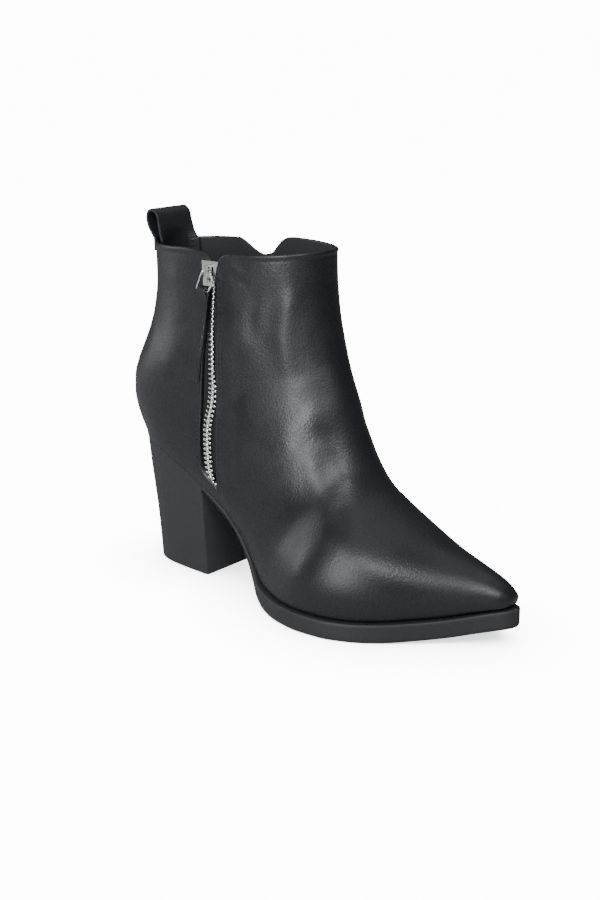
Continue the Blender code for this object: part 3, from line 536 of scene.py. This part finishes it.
PANELS = [            # side, where it runs to, rows and columns
    (LATERAL, TO_RIDGE, 230, 84), (LATERAL, TO_BACK, 130, 76),
    (MEDIAL, TO_RIDGE, 230, 70), (MEDIAL, TO_BACK, 130, 70)]
LINING_START = 3.0    # section behind the toe where the lining starts


def make_skin(mat):
    grids = []
    for side, towards, rows, cols in PANELS:
        start = 0.0 if towards == TO_RIDGE else first_rear(side)
        grids += panel(side, start, rows, cols, edge_of(side, towards), towards)
    use(to_mesh("boot_skin", grids), mat, "upper")


def make_lining(mat):
    grids = []
    for side, towards, rows, cols in PANELS:
        start = LINING_START if towards == TO_RIDGE else first_rear(side)
        grids.append(lining_grid(side, start, rows // 3, cols // 3, edge_of(side, towards), towards))
    use(to_mesh("boot_lining", grids, loose=True), mat)


SOLE_FLOOR = {        # underside of the sole: its height, and its reach outside the feather edge
    "x": (51.3, 61.0, 70.0, 79.0, 88.0, 96.0, 104.0, 112.0, 120.0, 176.0, 186.0, 199.0, 211.0,
          222.0, 229.5, 237.8),
    "z": (52.0, 45.6, 38.4, 28.9, 18.2, 9.6, 3.8, 0.8, 0.0, 0.0, 0.3, 1.4, 3.1, 5.5, 7.3, 9.4),
    "reach": (-0.8, -0.6, -0.4, 0.0, 0.8, 1.8, 2.6, 2.8, 2.8, 2.8, 2.8, 2.8, 2.8, 2.8, 2.8, 2.8)}
# Points of the sole's side: inset from its outline, and height above the underside or below the top.
SOLE_LOW = ((1.4, 0.0), (0.75, 0.12), (0.3, 0.45), (0.05, 1.0), (0.0, 2.4))
SOLE_HIGH = ((0.0, 4.0), (0.0, 2.4), (0.0, 1.3), (0.1, 0.6), (0.35, 0.2), (0.9, 0.0), (2.4, 0.02))
SOLE_GAP = 0.3        # under the upper
TOE_PART = 12.8       # length of the toe, where the sole's points lie closer together
HEEL_FOOT = {         # half of the heel's outline on the floor
    "x": (0.0, 1.5, 5.5, 12.0, 21.0, 31.0, 41.0, 51.0),
    "y": (0.0, 8.6, 14.6, 18.8, 21.2, 22.2, 22.8, 23.2)}
HEEL_BACK = {         # bow of the heel's back
    "z": (0.0, 15.0, 30.0, 45.0, 60.0, 77.0),
    "x": (0.0, -0.6, -1.6, -3.2, -5.0, -6.5)}
BREAST = 51.0
HEEL_GAP = 0.05       # under the upper
HEEL_INSET = 0.6 / 27.0   # share by which the heel's top is narrower than the feather outline
BREAST_ROUND = 1.2    # radius of the corners beside the breast
FLOOR_EDGE = 0.7      # how far the heel's lowest edge is rounded, and over what share of its height
FLOOR_SHARE = 0.012


def edge_outline(x, side, reach):
    """Plan points reach outside the feather outline."""
    rise = (feather_y(x + 0.3, side) - feather_y(x - 0.3, side)) / 0.6
    length = np.hypot(1.0, rise)
    return x - side * rise / length * reach, feather_y(x, side) + side / length * reach


def make_sole(mat):
    floor, reach = (curve(SOLE_FLOOR["x"], SOLE_FLOOR[name]) for name in ("z", "reach"))
    start, tip = SOLE_FLOOR["x"][0], FEATHER["x"][-1]
    x = np.concatenate([np.linspace(start, tip - TOE_PART, 150),
                        tip - TOE_PART * np.linspace(1, 0, 40)[1:] ** 2.2])
    top = feather["z"](x) - SOLE_GAP * np.hypot(1.0, feather_slope(x))
    points = [(inset, floor(x) + up) for inset, up in SOLE_LOW]
    points += [(inset, top - down) for inset, down in SOLE_HIGH]
    halves = []
    for side in (LATERAL, MEDIAL):
        lines = []
        for inset, z in points:
            # The outline's slope is taken 0.3 mm to both sides, so the tip is set by itself.
            px, py = edge_outline(np.minimum(x, tip - 0.31), side, reach(x) - inset)
            px[-1], py[-1] = tip + reach(tip) - inset, float(feather_y(tip, side))
            lines.append(np.stack([np.maximum(px, start), py, z], -1))
        halves.append(np.stack(lines, 0))
    rim = np.concatenate([halves[0][::-1], halves[1], halves[0][-1:]], 0)
    use(to_mesh("sole_band", [rim]), mat, "outsole")


def make_heel(mat):
    foot_y, bow = curve(HEEL_FOOT["x"], HEEL_FOOT["y"]), curve(HEEL_BACK["z"], HEEL_BACK["x"])
    t = np.linspace(0.0, 1.0, 70) ** 1.8
    seat = HEEL_CORNER + (BREAST - HEEL_CORNER) * t
    top = feather["z"](seat) - HEEL_GAP * np.hypot(1.0, feather_slope(seat))
    base_x, base_y = BREAST * t, foot_y(BREAST * t)
    rows = []
    for k in np.concatenate([[0.0, FLOOR_SHARE / 3.0, FLOOR_SHARE], np.linspace(0.03, 1.0, 26)]):
        under = max(0.0, 1.0 - k / FLOOR_SHARE)
        inset = FLOOR_EDGE * (1.0 - math.sqrt(max(0.0, 1.0 - under ** 2)))
        z = top * k
        back = bow(z) - HEEL_BACK["x"][-1] * z / HEEL_BACK["z"][-1]
        x = base_x + (seat - base_x) * k + back * (1.0 - t)
        corner = np.clip((x - (BREAST - BREAST_ROUND)) / BREAST_ROUND, 0.0, 1.0) ** 2
        px = np.minimum(np.where(t < 0.02, x + inset, x), BREAST - 0.3 * inset)
        half = []
        for side in (LATERAL, MEDIAL):
            y = base_y + (np.abs(feather_y(seat, side)) * (1.0 - HEEL_INSET) - base_y) * k
            half.append(np.stack([px, side * np.maximum(y - corner - inset, 0.0), z], -1))
        rows.append(np.concatenate([half[0][::-1], half[1][1:], half[0][-1:]], 0))
    grid = np.stack(rows, 0)
    # The underside is closed in one point.
    centre = grid.copy()[:1]
    centre[..., 0], centre[..., 1] = 0.5 * (BREAST - 1.0), 0.0
    use(to_mesh("heel_block", [np.concatenate([centre, grid], 0)]), mat, "heel")


PITCH = 2.74          # from tooth to tooth on one side
TOOTH = {             # half sizes along the chain and in depth, at places across the tooth
    "across": (0.0, 0.25, 0.75, 1.0),
    "along": (0.62, 0.78, 0.78, 0.5),
    "thick": (0.55, 0.7, 0.7, 0.5)}
TOOTH_SIDES = 12
CHAIN = (58.9, 184.0)     # heights of its lower and upper end
# Where a tooth starts behind the chain's middle, where it ends on the rear and the front side, and
# how far it stays behind the edge of its panel.
TOOTH_ROOT, REAR_END, FRONT_END, TOOTH_CLEAR = -0.75, 3.15, 3.05, 0.35
SHORTEST = 0.9        # a tooth with less room than this is left out
# By how much the upper teeth are shorter on the rear and the front side and lie deeper, each with
# the heights between which that comes in.
REAR_SHORT, FRONT_SHORT = (1.7, 146.5, 149.5), (1.6, 116.0, 126.0)
CHAIN_DEPTH, CHAIN_SINKS = 1.25, (0.5, 140.0, 152.0)


def comes_in(change, z):
    amount, low, high = change
    return amount * float(smooth(low, high, z))


def tooth_end(z, hand, middle):
    """How far the tooth at z reaches; the upper ones are drawn in under the panels' edges."""
    if hand < 0:
        full = REAR_END - comes_in(REAR_SHORT, z)
        return min(full, middle - float(slit["rear"](z)) - TOOTH_CLEAR)
    full = FRONT_END - comes_in(FRONT_SHORT, z)
    return min(full, float(slit["front"](z)) - TOOTH_CLEAR - middle)


def tooth(z, hand, middle, end):
    """Rings of one tooth, closed at both ends."""
    point, normal = on_wall(np.array([middle]), np.array([z]), LATERAL)
    point, normal = point[0], normal[0]
    up = np.array([float(zip_x(z + 1.0) - zip_x(z - 1.0)) / 2.0, 0.0, 1.0])
    up -= normal * (up @ normal)
    up /= np.linalg.norm(up)
    cross = np.cross(up, normal)
    cross *= np.sign(cross[0])
    point = point - normal * (CHAIN_DEPTH + comes_in(CHAIN_SINKS, z))
    turn = 2.0 * math.pi * np.arange(TOOTH_SIDES + 1) / TOOTH_SIDES
    c, d = np.cos(turn), np.sin(turn)
    # A rounded square.
    c, d = np.sign(c) * np.abs(c) ** 0.6, np.sign(d) * np.abs(d) ** 0.6
    rings = []
    for across, along, thick in zip(*TOOTH.values()):
        mid = point + cross * hand * (TOOTH_ROOT + (end - TOOTH_ROOT) * across)
        rings.append(mid + np.outer(c, up * along) + np.outer(d, normal * thick))
    first, last = [np.repeat(ring.mean(0, keepdims=True), TOOTH_SIDES + 1, 0)
                   for ring in (rings[0], rings[-1])]
    return np.stack([first] + rings + [last], 0)


def make_teeth(mat):
    grids = []
    for k, z in enumerate(np.arange(*CHAIN, 0.5 * PITCH)):
        hand, middle = (-1.0 if k % 2 == 0 else 1.0), float(zip_x(z))
        end = tooth_end(z, hand, middle)
        if end - TOOTH_ROOT > SHORTEST:
            grids.append(tooth(z, hand, middle, end))
    use(to_mesh("zip_teeth", grids), mat, "zip_chain")


STITCH, STITCH_GAP = 2.6, 0.7     # from one stitch to the next, and the hole between them
THREAD = {            # places along a stitch, its half width there, and its height on the skin
    "at": (0.0, 0.12, 0.5, 0.88, 1.0),
    "wide": (0.0, 0.2, 0.24, 0.2, 0.0),
    "lift": (-0.1, 0.02, 0.1, 0.02, -0.1)}
THREAD_FLAT = 0.8     # thickness of the thread for its width
FIRST_STITCH = 0.4    # from the start of its row
ZIP_ROW, SEAM_ROW = (63.0, 186.0), (46.0, 188.0)    # heights of the rows beside the zip and the seam
TOP_ROWS = (          # side and x of the rows under the topline, which stop on both sides of the V
    (LATERAL, (7.0, 57.0)), (LATERAL, (72.0, 118.0)), (MEDIAL, (7.0, 118.0)))


def stitch_rows():
    """Each row of stitches: its side and x, z points along it."""
    z = np.linspace(*ZIP_ROW, 60)
    rows = [(LATERAL, slit["front"](z) + away, z) for away in FRONT_ROWS]
    rows.append((LATERAL, slit["rear"](z[4:]) - REAR_ROW, z[4:]))
    z = np.linspace(*SEAM_ROW, 60)
    rows += [(MEDIAL, seam_x(z) + away, z) for away in FRONT_ROWS]
    for side, ends in TOP_ROWS:
        x = np.linspace(*ends, 60)
        rows.append((side, x, collar[side](x) - TOP_ROW))
    return rows


def make_stitches(mat):
    """Short threads lying in their rows on the skin."""
    turn = np.linspace(0.0, 2.0 * math.pi, 7)[:, None]
    grids = []
    for side, x, z in stitch_rows():
        point, normal = on_wall(x, z, side)
        point = point + normal * relief(point, side)[:, None]
        length = np.concatenate([[0.0], np.cumsum(np.linalg.norm(np.diff(point, axis=0), axis=1))])
        for start in np.arange(FIRST_STITCH, length[-1] - STITCH, STITCH):
            at = start + np.array(THREAD["at"]) * (STITCH - STITCH_GAP)
            mid = np.stack([np.interp(at, length, point[:, k]) for k in range(3)], -1)
            out = np.stack([np.interp(at, length, normal[:, k]) for k in range(3)], -1)
            along = mid[-1] - mid[0]
            across = np.cross(along / np.linalg.norm(along), out)
            rings = []
            for k, (wide, lift) in enumerate(zip(THREAD["wide"], THREAD["lift"])):
                high = lift + THREAD_FLAT * wide * np.sin(turn)
                rings.append(mid[k] + out[k] * high + across[k] * wide * np.cos(turn))
            grids.append(np.stack(rings, 0))
    use(to_mesh("stitches", grids), mat)


def nodes_of(mat):
    return mat.node_tree.nodes, mat.node_tree.links


def plain(name, colour, roughness, metallic=0.0):
    mat = bpy.data.materials.new(name)
    mat.use_nodes = True
    shader = mat.node_tree.nodes["Principled BSDF"]
    shader.inputs["Base Color"].default_value = (*colour, 1.0)
    shader.inputs["Roughness"].default_value = roughness
    shader.inputs["Metallic"].default_value = metallic
    return mat


GRAIN_DEPTH = 0.2 * MM


def add_grain(mat, layers):
    """Bump from several textures: (kind, scale per metre, strength)."""
    nodes, links = nodes_of(mat)
    shader = nodes["Principled BSDF"]
    coords = nodes.new("ShaderNodeTexCoord")
    previous = None
    for kind, scale, strength in layers:
        texture = nodes.new("ShaderNodeTexNoise" if kind == "noise" else "ShaderNodeTexVoronoi")
        texture.inputs["Scale"].default_value = scale
        if kind == "noise":
            texture.inputs["Detail"].default_value = 3.0
            out = texture.outputs["Fac"]
        else:
            texture.feature = "SMOOTH_F1"
            out = texture.outputs["Distance"]
        links.new(coords.outputs["Object"], texture.inputs["Vector"])
        node = nodes.new("ShaderNodeBump")
        node.inputs["Strength"].default_value = strength
        node.inputs["Distance"].default_value = GRAIN_DEPTH
        links.new(out, node.inputs["Height"])
        if previous:
            links.new(previous.outputs["Normal"], node.inputs["Normal"])
        previous = node
    links.new(previous.outputs["Normal"], shader.inputs["Normal"])
    return mat


def vary_roughness(mat, scale, low, high):
    """Roughness that drifts between low and high over the surface."""
    nodes, links = nodes_of(mat)
    coords, noise = nodes.new("ShaderNodeTexCoord"), nodes.new("ShaderNodeTexNoise")
    spread = nodes.new("ShaderNodeMapRange")
    noise.inputs["Scale"].default_value = scale
    noise.inputs["Detail"].default_value = 4.0
    spread.inputs["From Min"].default_value = 0.35
    spread.inputs["From Max"].default_value = 0.65
    spread.inputs["To Min"].default_value = low
    spread.inputs["To Max"].default_value = high
    links.new(coords.outputs["Object"], noise.inputs["Vector"])
    links.new(noise.outputs["Fac"], spread.inputs["Value"])
    links.new(spread.outputs["Result"], nodes["Principled BSDF"].inputs["Roughness"])
    return mat


def leather(name, colour=(0.0065, 0.0070, 0.0092)):
    mat = plain(name, colour, 0.4)
    add_grain(mat, [("noise", 60.0, 0.5), ("cells", 900.0, 0.35), ("noise", 520.0, 0.3)])
    return vary_roughness(mat, 45.0, 0.34, 0.46)


def cut_edge_and_painted_highlight(mat, colour, edge):
    """Its colour, made paler where the surface faces +X, towards the front light: partly the paler tone
    of a cut edge, partly a painted highlight.
    """
    nodes, links = nodes_of(mat)
    coords, split = nodes.new("ShaderNodeTexCoord"), nodes.new("ShaderNodeSeparateXYZ")
    facing, mix = nodes.new("ShaderNodeMapRange"), nodes.new("ShaderNodeMix")
    # Only faces turned towards +X, where the front light stands, are paled: a painted highlight on the
    # tab's edge.
    facing.inputs["From Min"].default_value = 0.75
    facing.inputs["From Max"].default_value = 0.95
    mix.data_type = "RGBA"
    mix.inputs["A"].default_value = (*colour, 1.0)
    mix.inputs["B"].default_value = (*edge, 1.0)
    links.new(coords.outputs["Normal"], split.inputs["Vector"])
    links.new(split.outputs["X"], facing.inputs["Value"])
    links.new(facing.outputs["Result"], mix.inputs["Factor"])
    links.new(mix.outputs["Result"], nodes["Principled BSDF"].inputs["Base Color"])
    return mat


def dress(node, mat, width=0.0):
    """A CAD node kept as it is, with a better material and its edges rounded over width."""
    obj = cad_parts[node]
    obj.data.materials.clear()
    obj.data.materials.append(mat)
    if width:
        bevel = obj.modifiers.new("edges", "BEVEL")
        bevel.width = width * MM
        bevel.segments = 3
        bevel.limit_method = "ANGLE"
        bevel.angle_limit = math.radians(35.0)
        bevel.harden_normals = True
    for poly in obj.data.polygons:
        poly.use_smooth = True


# The photo's camera, as fitted: its angle from the toe's direction towards the outer side, its
# elevation, and its place in the tables' millimetres.
AZIMUTH, ELEVATION = math.radians(49.875), math.radians(16.8)
CAMERA_PLACE = (584.76, -572.47, 307.27)


def make_camera():
    level = math.cos(ELEVATION)
    back = Vector((math.cos(AZIMUTH) * level, -math.sin(AZIMUTH) * level, math.sin(ELEVATION)))
    right = Vector((math.sin(AZIMUTH), math.cos(AZIMUTH), 0.0))
    place = Matrix((right, back.cross(right), back)).transposed().to_4x4()
    place.translation = Vector(put(CAMERA_PLACE))
    cam = bpy.data.objects.new("camera", bpy.data.cameras.new("camera"))
    bpy.context.scene.collection.objects.link(cam)
    cam.matrix_world = place
    cam.data.sensor_fit = "VERTICAL"
    cam.data.sensor_height = 36.0
    cam.data.lens = 56.0
    cam.data.clip_start = 0.01
    bpy.context.scene.camera = cam


COOL, WHITE = (0.93, 0.97, 1.0), (1.0, 1.0, 1.0)
LIGHTS = [            # name, place, what it faces, width and height, all in metres; power, colour
    ("side", (0.25, -1.25, 0.55), (0.10, -0.03, 0.10), (0.24, 1.0), 19.0, COOL),
    ("front", (0.85, -0.75, 0.95), (0.14, 0.0, 0.07), (0.5, 0.5), 10.0, COOL),
    ("left", (-1.1, -0.45, 0.5), (0.0, 0.0, 0.12), (0.4, 0.9), 5.0, WHITE),
    ("top", (0.1, 0.3, 1.8), (0.08, 0.0, 0.0), (1.6, 1.6), 8.0, WHITE)]


def make_light(name, place, target, size, power, colour):
    """Rectangular soft light."""
    data = bpy.data.lights.new(name, "AREA")
    data.shape = "RECTANGLE"
    data.size, data.size_y = size
    data.energy = power
    data.color = colour
    obj = bpy.data.objects.new(name, data)
    bpy.context.scene.collection.objects.link(obj)
    obj.location = place
    obj.rotation_euler = (Vector(target) - Vector(place)).to_track_quat("-Z", "Y").to_euler()


def seen_only(owner, socket, otherwise, seen):
    """Two values for a socket: one where the camera sees it and one for the light it gives."""
    nodes, links = nodes_of(owner)
    rays, strength = nodes.new("ShaderNodeLightPath"), nodes.new("ShaderNodeMapRange")
    strength.inputs["To Min"].default_value = otherwise
    strength.inputs["To Max"].default_value = seen
    links.new(rays.outputs["Is Camera Ray"], strength.inputs["Value"])
    links.new(strength.outputs["Result"], socket)


FLOOR_HALF = 90.0     # metres, so the floor fills the picture up to the horizon
# Brightness of the floor and of the background: as light on the boot, and in the camera's eye.
FLOOR_GLOW, WORLD_GLOW = (0.0, 13.0), (0.15, 14.0)
SHADE_REACH = 0.05    # metres within which the boot darkens the floor
DARKEST = 0.12        # what is left of the floor's brightness right under it


def make_stage():
    mesh, half = bpy.data.meshes.new("floor"), FLOOR_HALF
    corners = [(-half, -half, 0.0), (half, -half, 0.0), (half, half, 0.0), (-half, half, 0.0)]
    mesh.from_pydata(corners, [], [(0, 1, 2, 3)])
    floor = bpy.data.objects.new("floor", mesh)
    bpy.context.scene.collection.objects.link(floor)
    pale = plain("floor", (0.5, 0.5, 0.5), 0.95)
    nodes, links = nodes_of(pale)
    shader = nodes["Principled BSDF"]
    shader.inputs["Specular IOR Level"].default_value = 0.1
    seen_only(pale, shader.inputs["Emission Strength"], *FLOOR_GLOW)
    near, shade = nodes.new("ShaderNodeAmbientOcclusion"), nodes.new("ShaderNodeMapRange")
    near.inputs["Distance"].default_value = SHADE_REACH
    shade.inputs["From Min"].default_value = 0.2
    shade.inputs["To Min"].default_value = DARKEST
    links.new(near.outputs["AO"], shade.inputs["Value"])
    links.new(shade.outputs["Result"], shader.inputs["Emission Color"])
    floor.data.materials.append(pale)
    world = bpy.data.worlds.new("studio")
    bpy.context.scene.world = world
    world.use_nodes = True
    background = world.node_tree.nodes["Background"]
    background.inputs["Color"].default_value = (*WHITE, 1.0)
    seen_only(world, background.inputs["Strength"], *WORLD_GLOW)


def make_pieces():
    """The pieces made here, which replace CAD nodes or add to them."""
    make_skin(leather("black_leather"))
    make_lining(plain("lining", (0.014, 0.014, 0.016), 0.8))
    rubber = plain("sole_rubber", (0.015, 0.0145, 0.016), 0.6)
    make_sole(add_grain(rubber, [("noise", 900.0, 0.15)]))
    cover = plain("heel_cover", (0.018, 0.0175, 0.019), 0.6)
    make_heel(add_grain(cover, [("noise", 900.0, 0.1)]))
    make_teeth(plain("tooth_metal", (0.85, 0.85, 0.84), 0.2, 1.0))
    make_stitches(plain("thread_black", (0.009, 0.009, 0.011), 0.5))


def dress_nodes():
    """The CAD nodes that stay."""
    dress("insole", plain("insole", (0.03, 0.03, 0.034), 0.8))
    dress("zip_tape", plain("tape", (0.006, 0.006, 0.007), 0.9))
    dress("zip_slider", plain("slider_metal", (0.86, 0.86, 0.84), 0.16, 1.0), 0.25)
    dress("pull_wire", plain("wire_metal", (0.86, 0.86, 0.84), 0.15, 1.0))
    # The tab's leather is painted lighter than the upper's, though it is the same black leather, and
    # its +X edge paler: painted light.
    tab = cut_edge_and_painted_highlight(leather("tab_leather_painted_lighter"), (0.009, 0.0095, 0.012), (0.06, 0.062, 0.066))
    dress("pull_tab", tab, 0.2)
    # The loop is the same black leather as the upper, painted lighter: painted light for a loop that
    # faces away from the lamps.
    dress("pull_loop", leather("loop_leather", (0.015, 0.0155, 0.018)), 0.4)


def main():
    make_pieces()
    dress_nodes()
    make_camera()
    make_stage()
    for light in LIGHTS:
        make_light(*light)


main()
